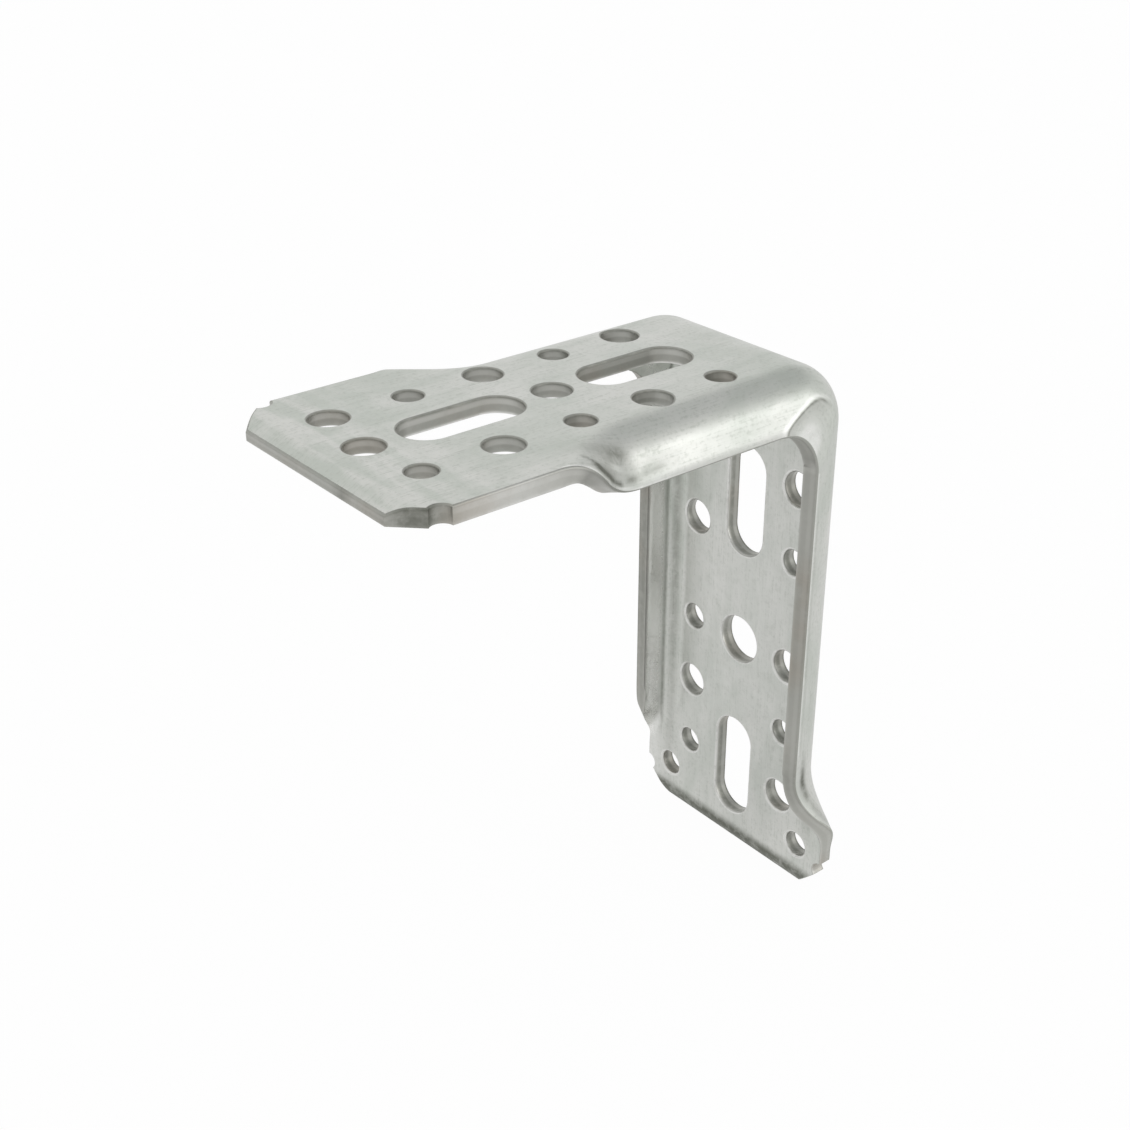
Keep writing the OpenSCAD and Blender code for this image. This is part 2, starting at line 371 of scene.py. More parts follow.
def rows_along(strip):
    """Values of q for the mesh's rows: evenly spaced within each span, close in the corner, the
    run-outs and the foot, and wide elsewhere."""
    s = strip.s
    a, b = -strip.along(strip.shelf_flat), strip.along(strip.wall_flat)
    foot = strip.ends[1] - FOOT_FINE * MM
    spans = [(strip.ends[0], a, SHELF_EAR_ROWS),
             (a, a + s.runout_len, FINE_ROWS),
             (a + s.runout_len, -strip.zone, FLAT_ROWS),
             (-strip.zone, strip.zone, CORNER_ROWS),
             (strip.zone, b - s.runout_len, FLAT_ROWS),
             (b - s.runout_len, b, FINE_ROWS),
             (b, foot, WALL_EAR_ROWS),
             (foot, strip.ends[1], FINE_ROWS)]
    steps = [np.linspace(x, y, max(int((y - x) / (step * MM)), 1) + 1) for x, y, step in spans]
    return np.unique(np.concatenate(steps))


def corner_cut(strip, q_end, up, e):
    """One end's right-hand corner moved inwards by e: an arc about the notch's centre, then a
    straight cut to the end edge. Each stretch has its points and its direction off the sheet."""
    s = strip.s
    centre = np.array([s.strip_w / 2, q_end - up * s.corner_cut])
    r = s.notch_r + e
    chord = math.sqrt(r * r - e * e)
    start = math.atan2(-chord, -e) % (2 * math.pi)
    stop = math.atan2(-e + chord, -e - chord) % (2 * math.pi)
    t = np.linspace(start, stop, NOTCH_POINTS)
    arc = centre + r * np.stack([np.cos(t), up * np.sin(t)], -1)
    tip = np.array([s.strip_w / 2 - s.corner_cut + e * (1 - math.sqrt(2)), q_end - up * e])
    cut = arc[-1] + (tip - arc[-1]) * np.linspace(0, 1, CUT_POINTS)[:, None]
    slant = np.tile([math.sqrt(0.5), up * math.sqrt(0.5)], (len(cut), 1))
    return [(arc, (centre - arc) / r), (cut, slant)]


def outline(strip, e):
    """The strip's outline moved inwards by e, anticlockwise in u and q, as stretches of points
    and directions off the sheet: the sides follow the half width, between the ends' corners."""
    s = strip.s
    low, top = corner_cut(strip, strip.ends[0], -1, e), corner_cut(strip, strip.ends[1], 1, e)
    rows = rows_along(strip)
    clear = s.corner_cut + s.notch_r + MM
    rows = rows[(rows > strip.ends[0] + clear) & (rows < strip.ends[1] - clear)]
    q = np.concatenate([low[0][0][:1, 1], rows, top[0][0][:1, 1]])
    side = np.stack([strip.half(q) - e, q], -1)
    turned = [(points[::-1], out[::-1]) for points, out in low[::-1]]
    right = turned + [(side, np.tile([1.0, 0.0], (len(q), 1)))] + top
    flip = np.array([-1.0, 1.0])
    left = [(points[::-1] * flip, out[::-1] * flip) for points, out in right[::-1]]

    def across(a, b, up):
        """An end edge: evenly spaced points from a to b."""
        points = a + (b - a) * np.linspace(0, 1, END_POINTS)[:, None]
        return points, np.tile([0.0, up], (len(points), 1))

    return (right + [across(right[-1][0][-1], left[0][0][0], 1.0)]
            + left + [across(left[-1][0][-1], right[0][0][0], -1.0)])


def inside(points, loop):
    """Which points lie within a closed loop, by the count of its edges crossed on the way right."""
    a, b = loop, np.roll(loop, -1, axis=0)
    x, y = points[:, :1], points[:, 1:]
    spans = (a[:, 1] > y) != (b[:, 1] > y)
    rise = np.where(b[:, 1] == a[:, 1], TINY, b[:, 1] - a[:, 1])
    return (spans & (x < (b[:, 0] - a[:, 0]) * (y - a[:, 1]) / rise + a[:, 0])).sum(axis=1) % 2 == 1


def lattice(strip, holes, e_side, e_hole):
    """Points of the flat blank clear of its outline and holes: columns close together over the
    flanges and wide over the web, and the rows of the strip."""
    s = strip.s
    fine = np.arange(strip.web - FINE_BEFORE * MM, s.strip_w / 2 + FINE_PAST * MM, FINE_COLUMNS * MM)
    wide = np.arange(-WIDE_COUNT, WIDE_COUNT + 1) * WIDE_COLUMNS * MM
    u = np.concatenate([wide, fine, -fine])
    p = np.stack(np.meshgrid(u, rows_along(strip), indexing="ij"), -1).reshape(-1, 2)
    a = np.abs(p[:, 0])
    keep = a < strip.half(p[:, 1]) - e_side - CLEAR_SIDE * MM
    for q_end, up in zip(strip.ends, (-1, 1)):
        gap = up * (q_end - p[:, 1])
        keep &= gap > e_side + CLEAR_END * MM
        keep &= s.strip_w / 2 - a + gap > s.corner_cut + SLANT * e_side + CLEAR_CUT * MM
        keep &= np.hypot(a - s.strip_w / 2, gap - s.corner_cut) > s.notch_r + e_side + CLEAR_ROUND * MM
    for (u0, q0, radius, reach), e in zip(holes, e_hole):
        away = np.hypot(p[:, 0] - u0, np.maximum(np.abs(p[:, 1] - q0) - reach, 0))
        keep &= away > radius + e + CLEAR_ROUND * MM
    return p[keep]


def blank_mesh(strip, holes, rings, e_side, e_hole):
    """Points and anticlockwise triangles of the flat blank between its outline and its holes, set
    back by the two distances. A constrained Delaunay mesh joins the outlines and the lattice."""
    edge = np.concatenate([points[:-1] for points, _ in outline(strip, e_side)])
    loops = [edge] + [at(e) for (at, _), e in zip(rings, e_hole)]
    points = np.concatenate(loops + [lattice(strip, holes, e_side, e_hole)])
    ends = np.cumsum([len(loop) for loop in loops])
    runs = [np.arange(b - len(loop), b) for b, loop in zip(ends, loops)]
    edges = np.concatenate([np.stack([run, np.roll(run, -1)], -1) for run in runs])
    # millimetres keep the mesher's own tolerance far below the shortest edge
    flat = [Vector(v) for v in (points / MM).tolist()]
    found = delaunay_2d_cdt(flat, edges.tolist(), [], 0, MESH_TOLERANCE)
    v, f = points[[first[0] for first in found[3]]], np.array(found[2])
    turn = np.cross(v[f[:, 1]] - v[f[:, 0]], v[f[:, 2]] - v[f[:, 0]])
    middle = v[f].mean(axis=1)
    # points on one straight cut can join into slivers without area
    good = inside(middle, edge) & (np.abs(turn) > SLIVER)
    for loop, (u0, q0, radius, reach) in zip(loops[1:], holes):
        near = np.hypot(middle[:, 0] - u0, middle[:, 1] - q0) < radius + reach + AROUND_HOLE * MM
        good[near] &= ~inside(middle[near], loop)
    return v, np.where((turn[good] > 0)[:, None], f[good], f[good][:, ::-1])


def cut_profile(rim_w, rim_h, lip_w, lip_h, t):
    """Section of a cut face as rows of (distance in from it, share of the depth, and the upward and
    the sideways part of the normal): a quarter ellipse at the outer face, a straight face, and
    a quarter ellipse at the inner face."""
    a = np.linspace(0, math.pi / 2, ROLL_ROWS)
    sin, cos = np.sin(a), np.cos(a)
    top = np.stack([rim_w * (1 - sin), rim_h * (1 - cos), rim_w * cos, rim_h * sin], -1)
    low = np.stack([lip_w * (1 - cos), t - lip_h * (1 - sin), -lip_w * sin, lip_h * cos], -1)
    face = np.linspace(rim_h, t - lip_h, FACE_ROWS)[1:-1]
    rows = np.concatenate([top, np.stack([0 * face, face, 0 * face, 0 * face + 1], -1), low])
    rows[:, 1] /= t
    rows[:, 2:] = unit(rows[:, 2:])
    return rows


OUTER, INNER, CUT = 0, 1, 2
# smudges and rubbed places as the photograph shows them, with painted shade and painted light
# among them: the face, the place and the half widths on the blank in millimetres, and how much
# darker, or if negative lighter
MARKS = (
    # darker and lighter patches at the shelf arm's run-out: partly smudges, partly painted shade and painted
    # highlight
    (OUTER, 27.8, -69.5, 2.6, 6.0, 0.55),
    (OUTER, 27.0, -66.0, 1.4, 2.4, 0.60),
    (OUTER, 31.6, -72.5, 1.2, 3.4, 0.60),
    (OUTER, 29.6, -67.8, 0.45, 1.9, -0.80),
    (OUTER, 31.8, -63.3, 0.8, 1.9, 0.80),
    (OUTER, 33.2, -56.0, 0.9, 4.5, -0.50),
    (OUTER, 31.0, -57.5, 0.8, 2.5, 0.35),
    # painted shade that dims the start of the near flange's highlight
    (OUTER, 30.5, -59.0, 5.0, 9.0, 0.22),
    (OUTER, 31.0, 105.0, 1.2, 6.0, 1.40),
    (OUTER, 31.5, 116.0, 1.0, 5.0, 0.40),
    (INNER, 31.0, 136.0, 2.0, 2.0, -0.30),
    # painted light over the wall arm's inner face and the far flange's inner flat, painted shade in the far
    # flange's bend
    (INNER, 0.0, 70.0, 45.0, 70.0, -0.32),
    (INNER, -32.0, 60.0, 3.0, 60.0, -1.60),
    (INNER, -24.5, 60.0, 2.2, 60.0, 0.90),
    (INNER, 26.5, 118.0, 1.6, 7.0, 0.35),
    (INNER, 24.0, 141.0, 1.0, 1.2, 0.80),
    (CUT, 34.0, 104.0, 1.5, 7.0, 0.30),
    # painted light on the ears' side edges
    (CUT, 32.5, -96.0, 3.0, 12.0, -0.40),
    (CUT, 32.5, 138.0, 1.5, 1.5, -0.30),
    (CUT, 10.4, -118.2, 0.5, 1.5, 0.90),
    (CUT, 29.0, -115.0, 4.5, 4.0, 1.00),
    (CUT, 31.3, -111.0, 1.6, 2.2, 0.80),
    (CUT, 34.0, 60.0, 1.5, 30.0, 0.16),
    (CUT, -34.0, 60.0, 1.5, 60.0, 0.60),
)
# thin lines: painted highlights along the near flanges' free edges, painted shade on a facet at the
# shelf arm's run-out and along the wall arm's near flange edge, and a darker line near the run-out:
# the face, both ends, the half width, and how much darker, or if negative lighter
LINES = (
    # painted highlight along the shelf arm's near flange edge
    (OUTER, 32.1, -83.0, 33.1, -72.0, 0.30, -1.00),
    (OUTER, 33.1, -72.0, 33.9, -61.0, 0.30, -1.00),
    (OUTER, 33.9, -61.0, 34.1, -50.0, 0.30, -0.60),
    # painted shade on a facet at the run-out, then a darker line
    (OUTER, 31.3, -75.0, 32.7, -67.0, 0.60, 1.10),
    (OUTER, 29.6, -76.5, 30.9, -73.5, 0.35, 0.80),
    # painted highlight, then painted shade, along the wall arm's near flange edge
    (OUTER, 34.0, 20.0, 34.0, 96.0, 0.35, -0.80),
    (OUTER, 33.0, 30.0, 32.8, 96.0, 0.30, 0.25),
)
# the painted shade line inside a flange's bend: its place as a share of the bend, half width in
# millimetres, darkness
BEND_LINE = (0.95, 0.7, 1.0)
# the painted shade band at the wall arm's foot: its reach in widths of the foot's roll, darkness
FOOT_BAND = (1.7, 1.5)
# the painted shade under the crease of the corner's pressed flat and the painted highlight just before
# it: how deep the flat lies there in millimetres, half width, and how much darker, or if negative lighter
CREASE_SHADES = ((0.09, 0.08, 0.9), (0.35, 0.25, 0.3), (-0.14, 0.12, -0.5))
# the share of these shades at the corner's diagonal, and the length over which they go to nothing
# on the wall arm, in millimetres
CREASE_FADE = (0.6, 8)
# the painted highlight band at the arch: the depth at which it starts, the depth to its full strength,
# and how much lighter
ARCH_LIGHT = (0.75, 0.35, 0.7)
# a punched face's zones as shares of its depth: the painted shade line's middle, half width and
# darkness; start, stop, soft edge and darkness of the burnished and of the torn zone; the painted
# highlight on the lip: its start, soft edge and lightness
RIM_LINE = (0.08, 0.05, 0.9)
BURNISHED = (0.16, 0.46, 0.06, -0.18)
TORN = (0.42, 0.84, 0.08, 0.28)
LIP_LIGHT = (0.84, 0.08, 0.8)
# the share of that on the strip's outer edges
EDGE_SHARE = 0.3
# painted shade low in the wall arm's holes: darkness, and where it ends and over what share of the depth
BORE_SHADE = (0.65, 0.9, 0.3)


def soil_and_shade(strip, blank, face):
    """How much darker each point is made, and lighter where the sum is below nothing: a sum of bells of the
    distance from each mark and each line, counted in half widths, for smudges and rubbed places and
    for painted shade and painted light. To these come a painted shade line inside each flange's bend,
    a painted shade band along the foot of the wall arm, and the painted shade and painted highlights
    of the corner's pressed flat, which follow how deep the flat is pressed in."""
    u, q = blank.T
    total = np.zeros(len(blank))
    for kind, u0, q0, wide, long, dark in MARKS:
        if kind == face:
            total += dark * bell((u / MM - u0) / wide) * bell((q / MM - q0) / long)
    for kind, u0, q0, u1, q1, wide, dark in LINES:
        if kind == face:
            a, way = np.array([u0, q0]), np.array([u1 - u0, q1 - q0])
            t = np.clip((blank / MM - a) @ way / (way @ way), 0, 1)
            total += dark * bell(np.linalg.norm(blank / MM - a - t[:, None] * way, axis=1) / wide)
    if face == INNER:
        # painted shade: a line inside each flange's bend and a band along the wall arm's foot
        place, wide, dark = BEND_LINE
        total += dark * bell((np.abs(u) - strip.web - place * strip.bent) / (wide * MM)) * strip.bent_share(q)
        reach, dark = FOOT_BAND
        total += dark * smooth(reach - (strip.ends[1] - q) / strip.s.foot_roll)
    if face == OUTER:
        # painted shade under the pressed flat's crease, a painted highlight just before it, and a painted
        # highlight band towards the arch
        deep = strip.pressed_in(u, q) / MM
        here, fade = CREASE_FADE
        for middle, wide, dark in CREASE_SHADES:
            total += dark * bell((deep - middle) / wide) * smooth(here - q / (fade * MM))
        start, rise, light = ARCH_LIGHT
        total -= light * smooth((deep - start) / rise)
    return total


def zone(depth, start, stop, edge, dark):
    """A darkness that holds from start to stop: the product of a smooth step up and one down."""
    return dark * smooth((depth - start) / edge) * smooth((stop - depth) / edge)


def punch_shade(depth):
    """How dark a punched face is at a share of its depth: a painted shade line under the outer rim, the
    bright band that the punch burnished, the dark rough zone where the steel tore, and a painted
    highlight on the lip at the inner face."""
    middle, wide, dark = RIM_LINE
    start, edge, light = LIP_LIGHT
    line = dark * bell((depth - middle) / wide)
    return line + zone(depth, *BURNISHED) + zone(depth, *TORN) - light * smooth((depth - start) / edge)


def bore_shade(way, q, depth):
    """How dark the painted shade in a wall arm's hole is: a smooth step of how far the face looks up and to
    the right, less towards the inner mouth."""
    dark, stop, fade = BORE_SHADE
    under = smooth((way[:, 0] - way[:, 1]) * math.sqrt(0.5))
    return np.where(q > 0, dark, 0.0) * under * smooth((stop - depth) / fade)


class Pile:
    """Collects patches of mesh: places, normals, the blank's own u and q, two shares, one that tells
    sheared faces from rolled ones and one of smudges, painted shade and painted light, and triangles."""

    def __init__(self):
        self.parts, self.count = [], 0

    def add(self, place, normal, blank, tint, triangles):
        """Adds a patch, whose triangles count its own points from nought."""
        self.parts.append((place, normal, blank, tint, triangles + self.count))
        self.count += len(place)

    def arrays(self):
        """All patches as one."""
        return [np.concatenate(column) for column in zip(*self.parts)]


def cut_face(strip, pile, at, out, rows, outer):
    """A cut face: the profile carried along one stretch of an outline. Each point is the fold at
    the stretch set in by the row's distance, lowered along the normal by the row's share of
    the way from the outer face to the inner one."""
    count = len(out)
    blank = np.concatenate([at(e) for e in rows[:, 0]])
    place, n, du, dq = strip.faced(blank[:, 0], blank[:, 1])
    way = np.tile(out, (len(rows), 1))
    side = du * way[:, :1] + dq * way[:, 1:]
    side = unit(side - n * (side * n).sum(axis=1, keepdims=True))
    _, depth, up, off = np.repeat(rows, count, axis=0).T[:, :, None]
    top, low = (face[:, None] for face in strip.sunk(blank[:, 1]))
    i = np.arange(count - 1 if outer else count)
    j = (i + 1) % count
    base = (np.arange(len(rows) - 1) * count)[:, None]
    quads = np.stack([base + i, base + j, base + count + j, base + count + i], -1).reshape(-1, 4)
    if outer:
        quads = quads[:, ::-1]
    marked = soil_and_shade(strip, blank, CUT) + punch_shade(depth[:, 0]) * (EDGE_SHARE if outer else 1.0)
    if not outer:
        # painted shade low in the wall arm's holes
        marked += bore_shade(way, blank[:, 1], depth[:, 0])
    tint = np.stack([np.sqrt(off[:, 0]), marked], -1)
    pile.add(place - (top + (low - top) * depth) * n, n * up + side * off, blank, tint,
             np.concatenate([quads[:, [0, 1, 2]], quads[:, [0, 2, 3]]]))


def skin(strip, pile, holes, rings, inner, e_side, e_hole):
    """The outer or the inner face: the blank's mesh folded and lowered by the face's depth. Where
    it is rolled, its normal leans by the roll's slope."""
    blank, triangles = blank_mesh(strip, holes, rings, e_side, e_hole)
    u, q = blank.T
    place, n, _, dq = strip.faced(u, q)
    depth = strip.sunk(q)[inner][:, None]
    rise = strip.sunk(q + ROLL_PROBE)[inner] - strip.sunk(q - ROLL_PROBE)[inner]
    slope = rise[:, None] / (2 * ROLL_PROBE)
    face = -1 if inner else 1
    tint = np.stack([0 * u, soil_and_shade(strip, blank, INNER if inner else OUTER)], -1)
    pile.add(place - depth * n, face * unit(n + dq * slope), blank, tint, triangles[:, ::face])


def lip_of(hole, h):
    """Width and height of the lip at a hole's inner mouth, which are one size in slots, one in the
    shelf arm's screw holes and one in the wall arm's."""
    if hole[2] > WIDE_HOLE:
        return h.slot_lip, h.slot_lip
    return (h.lip_w, h.lip_h) if hole[1] < 0 else (h.wall_lip, h.wall_lip)


def pressed_sheet(strip, h):
    """The whole bracket: the outer face, the inner face one sheet thickness below it, the cut
    faces of the holes and those of the outline."""
    s, pile = strip.s, Pile()
    holes = punched(strip, h)
    rings = [ring(hole, SLOT_POINTS if hole[2] > WIDE_HOLE else HOLE_POINTS) for hole in holes]
    lips = [lip_of(hole, h) for hole in holes]
    skin(strip, pile, holes, rings, 0, s.shear_roll, [h.rim_w] * len(holes))
    skin(strip, pile, holes, rings, 1, BURR, [wide for wide, _ in lips])
    for (at, out), (wide, tall) in zip(rings, lips):
        cut_face(strip, pile, at, out, cut_profile(h.rim_w, h.rim_h, wide, tall, s.sheet_t), False)
    rows = cut_profile(s.shear_roll, s.shear_roll, BURR, BURR, s.sheet_t)
    set_in = {float(e): outline(strip, e) for e in np.unique(rows[:, 0])}
    for k, (_, out) in enumerate(outline(strip, 0.0)):
        cut_face(strip, pile, lambda e: set_in[float(e)][k][0], out, rows, True)
    return pile.arrays()


def write_mesh(name, place, normal, blank, tint, triangles):
    """Welds the points that share a place and writes the mesh with its corner normals, the
    blank's map in decimetres, and the shares of shearing and of soil, painted shade and painted light at each
    corner."""
    _, first, weld = np.unique(np.round(place / WELD).astype(np.int64), axis=0,
                               return_index=True, return_inverse=True)
    welded = weld.reshape(-1)[triangles]
    a, b, c = welded.T
    good = (a != b) & (b != c) & (a != c)
    welded, corners = welded[good], triangles[good].reshape(-1)
    mesh = bpy.data.meshes.new(name)
    mesh.vertices.add(len(first))
    mesh.vertices.foreach_set("co", place[first].astype(np.float32).reshape(-1))
    mesh.loops.add(welded.size)
    mesh.loops.foreach_set("vertex_index", welded.reshape(-1).astype(np.int32))
    mesh.polygons.add(len(welded))
    mesh.polygons.foreach_set("loop_start", (np.arange(len(welded)) * 3).astype(np.int32))
    mesh.polygons.foreach_set("use_smooth", np.ones(len(welded), bool))
    mesh.update(calc_edges=True)
    flat_map = (blank[corners] * DECIMETRES).astype(np.float32).reshape(-1)
    mesh.uv_layers.new(name="Blank").data.foreach_set("uv", flat_map)
    for k, kind in enumerate(("sheared", "soil_and_shade")):
        values = tint[corners, k].astype(np.float32)
        mesh.attributes.new(kind, "FLOAT", "CORNER").data.foreach_set("value", values)
    mesh.normals_split_custom_set(unit(normal[corners]).tolist())
    return mesh


def add_object(name, mesh, material):
    """An object at the origin with its mesh and its material."""
    obj = bpy.data.objects.new(name, mesh)
    obj.data.materials.append(material)
    bpy.context.scene.collection.objects.link(obj)
    return obj


class Value:
    """A shader socket that takes part in Python sums. Numbers, sockets and Values mix freely."""

    def __init__(self, tree, socket):
        self.tree, self.socket = tree, socket

    def _math(self, operation, a, b, clamp=False):
        """One Math node on two values."""
        node = self.tree.nodes.new("ShaderNodeMath")
        node.operation, node.use_clamp = operation, clamp
        plug(self.tree, node.inputs[0], a)
        plug(self.tree, node.inputs[1], b)
        return Value(self.tree, node.outputs[0])

    def __add__(self, other):
        return self._math("ADD", self, other)

    def __radd__(self, other):
        return self._math("ADD", other, self)

    def __sub__(self, other):
        return self._math("SUBTRACT", self, other)

    def __rsub__(self, other):
        return self._math("SUBTRACT", other, self)

    def __mul__(self, other):
        return self._math("MULTIPLY", self, other)

    def __rmul__(self, other):
        return self._math("MULTIPLY", other, self)

    def held(self):
        """The value kept between 0 and 1."""
        return self._math("ADD", self, 0.0, clamp=True)


def plug(tree, socket, item):
    """Links a Value to a socket, or sets a plain number, colour or vector on it."""
    if isinstance(item, Value):
        tree.links.new(item.socket, socket)
    else:
        socket.default_value = item


class Shader:
    """Adds nodes to one emptied tree."""

    def __init__(self, owner):
        owner.use_nodes = True
        self.tree = owner.node_tree
        self.tree.nodes.clear()

    def node(self, kind, settings=None, values=None, out=0):
        """A node of one type: its settings are set first, then its sockets by name or number, and
        the output that is asked for comes back as a Value."""
        node = self.tree.nodes.new(kind)
        for key, item in (settings or {}).items():
            setattr(node, key, item)
        for key, item in (values or {}).items():
            plug(self.tree, node.inputs[key], item)
        return Value(self.tree, node.outputs[out]) if node.outputs else None

    def noise(self, vector, scale, detail, roughness, distortion):
        """Soft noise about 0.5."""
        return self.node("ShaderNodeTexNoise", None, {"Vector": vector, "Scale": scale, "Detail": detail,
                                                      "Roughness": roughness, "Distortion": distortion})

    def stretched(self, vector, scale):
        """The vector scaled differently along each axis, so that a pattern on it is drawn out."""
        return self.node("ShaderNodeMapping", None, {"Vector": vector, "Scale": scale})

    def ramp(self, value, low, high, start=0.0, stop=1.0):
        """start up to low, stop from high, and a smooth step between."""
        return self.node("ShaderNodeMapRange", {"interpolation_type": "SMOOTHSTEP"},
                         {"Value": value, "From Min": low, "From Max": high, "To Min": start, "To Max": stop})

    def blend(self, share_of_b, a, b):
        """Colour a where the share is 0 and colour b where it is 1."""
        return self.node("ShaderNodeMix", {"data_type": "RGBA"}, {0: share_of_b, 6: a, 7: b}, 2)

    def finish(self, kind, surface):
        """Links the last shader to the output."""
        self.node(kind, None, {"Surface": surface})


def rgba(colour):
    """A colour with full alpha."""
    return (colour[0], colour[1], colour[2], 1.0)


# scale, detail, roughness and distortion of each noise in the zinc
CLOUDS = (42.0, 4.0, 0.6, 0.6)
SMEARS = (11.0, 5.0, 0.65, 1.0)
DRAWN_LINES = (4.0, 3.0, 0.6, 0.0)
GRAIN = (1100.0, 3.0, 0.7, 0.0)
BANDS = (26.0, 2.0, 0.5, 0.0)
MOTTLE = (420.0, 4.0, 0.65, 0.4)
STAINS = (60.0, 2.0, 0.55, 0.0)
# how smears, lines and bands are drawn out on the blank
SMEARS_DRAWN = (1.0, 0.25, 1.0)
LINES_DRAWN = (60.0, 2.0, 1.0)
BANDS_DRAWN = (0.12, 1.0, 1.0)
# where the bands near the free end fade out, in decimetres along the blank
BANDS_FADE = (-1.15, -0.8)
# weights of clouds, smears and bands in the worn places, and the range of their sum
WORN_SUM = (0.55, 0.5, 1.1)
WORN_RANGE = (0.38, 0.70)
FLECK_RANGE = (0.48, 0.66)
STAIN_RANGE = (0.45, 0.7)
MOTTLE_RANGE = (0.25, 0.6)
# the most that each layer covers the one below, and the least that smudges, painted shade and painted light
# keep between their specks
WORN_MOST = 0.85
FLECK_MOST = 0.6
STAIN_MOST = 0.55
CUT_MOST = 0.9
RIM_MOST = 0.45
SOIL_AND_SHADE_MOST = 0.8
SOIL_AND_SHADE_LEAST = 0.55
# how much smears, grain, cut faces, and smudges with painted shade and light add to the roughness
ROUGH_SUM = (0.22, 0.1, 0.1, 0.12)
# how much lines, grain, smears, and mottled smudges with painted shade and light add to the height, and its
# bump
HEIGHT_SUM = (0.2, 0.45, 0.5, 0.8)
BUMP_STRENGTH = 0.22
BUMP_DEPTH = 0.0002


def zinc_material(look):
    """Zinc coated steel. Cloudy smears are drawn along the strip over a fine grain, with bands
    across it near the shelf arm's free end. Cut faces are darker, with brownish stains and a
    painted shade line along their rims, and the smudges, painted shade and painted light are broken up by
    noise."""
    material = bpy.data.materials.new("zinc_coat")
    sh = Shader(material)
    spot = sh.node("ShaderNodeTexCoord", None, None, "Object")
    blank = sh.node("ShaderNodeUVMap", {"uv_map": "Blank"})
    cut = sh.node("ShaderNodeAttribute", {"attribute_name": "sheared"}, None, "Fac")
    soil_and_shade_here = sh.node("ShaderNodeAttribute", {"attribute_name": "soil_and_shade"}, None, "Fac")
    clouds = sh.noise(spot, *CLOUDS)
    smears = sh.noise(sh.stretched(blank, SMEARS_DRAWN), *SMEARS)
    lines = sh.noise(sh.stretched(blank, LINES_DRAWN), *DRAWN_LINES)
    grain = sh.noise(spot, *GRAIN)
    bands = sh.noise(sh.stretched(blank, BANDS_DRAWN), *BANDS)
    mottle = sh.noise(spot, *MOTTLE)
    stains = sh.noise(spot, *STAINS)
    along = sh.node("ShaderNodeSeparateXYZ", None, {"Vector": blank}, "Y")
    near_end = sh.ramp(along, *BANDS_FADE, 1.0, 0.0)
    by_clouds, by_smears, by_bands = WORN_SUM
    worn = clouds * by_clouds + smears * by_smears + (bands - 0.5) * near_end * by_bands
    face = sh.blend(sh.ramp(worn, *WORN_RANGE) * WORN_MOST, rgba(look.zinc), rgba(look.dull))
    fleck = sh.ramp((lines + grain) * 0.5, *FLECK_RANGE, 0.0, FLECK_MOST)
    face = sh.blend(fleck, face, rgba(look.fleck))
    edge = sh.blend(sh.ramp(stains, *STAIN_RANGE) * STAIN_MOST, rgba(look.sheared), rgba(look.stain))
    base = sh.blend(cut * CUT_MOST, face, edge)
    # 1 where the rim has turned halfway, where a painted shade line runs along the rim
    rim = (cut * (1.0 - cut) * 4.0).held()
    base = sh.blend(rim * RIM_MOST, base, rgba(look.smudge_and_shade))
    # smudges and painted shade blend towards the smudge colour, rubbed places and painted light towards the
    # rubbed colour
    soiled_and_shaded = soil_and_shade_here * sh.ramp(mottle, *MOTTLE_RANGE, SOIL_AND_SHADE_LEAST, 1.0)
    base = sh.blend((soiled_and_shaded * SOIL_AND_SHADE_MOST).held(), base, rgba(look.smudge_and_shade))
    base = sh.blend((soiled_and_shaded * -SOIL_AND_SHADE_MOST).held(), base, rgba(look.rubbed_and_highlight))
    by_smears, by_grain, by_cut, by_soil_and_shade = ROUGH_SUM
    rough = (smears - 0.5) * by_smears + (grain - 0.5) * by_grain + cut * by_cut + soiled_and_shaded * by_soil_and_shade
    by_lines, by_grain, by_smears, by_soil_and_shade = HEIGHT_SUM
    height = lines * by_lines + grain * by_grain + smears * by_smears + mottle * soiled_and_shaded * by_soil_and_shade
    normal = sh.node("ShaderNodeBump", None, {"Strength": BUMP_STRENGTH, "Distance": BUMP_DEPTH,
                                              "Height": height})
    surface = sh.node("ShaderNodeBsdfPrincipled", None, {"Base Color": base, "Metallic": look.metal,
                                                         "Roughness": (rough + look.rough).held(),
                                                         "Normal": normal})
    sh.finish("ShaderNodeOutputMaterial", surface)
    return material


def seen_white(sh):
    """1 for the rays to which the background is plain white: those from the camera, and those
    that metal or glass sends on."""
    kinds = ("Is Camera Ray", "Is Glossy Ray", "Is Transmission Ray")
    camera, glossy, through = (sh.node("ShaderNodeLightPath", None, None, kind) for kind in kinds)
    return camera, (glossy + through).held()


# how much of the floor is plain white to the camera and in the metal; the rest keeps the shadow
FLOOR_SEEN = 0.97
FLOOR_MIRRORED = 0.9
CARD_TONE = (0.84, 0.85, 0.86, 1)
SKY_LIGHT = 0.8


def pale_material(look):
    """A plain floor that shows as white and keeps the bracket's shadow."""
    material = bpy.data.materials.new("pale_floor")
    sh = Shader(material)
    camera, mirrored = seen_white(sh)
    diffuse = sh.node("ShaderNodeBsdfDiffuse", None, {"Color": rgba(look.floor)})
    white = sh.node("ShaderNodeEmission", None, {"Color": (1, 1, 1, 1), "Strength": 1.0})
    share_white = camera * FLOOR_SEEN + mirrored * FLOOR_MIRRORED
    surface = sh.node("ShaderNodeMixShader", None, {0: share_white, 1: diffuse, 2: white})
    sh.finish("ShaderNodeOutputMaterial", surface)
    return material


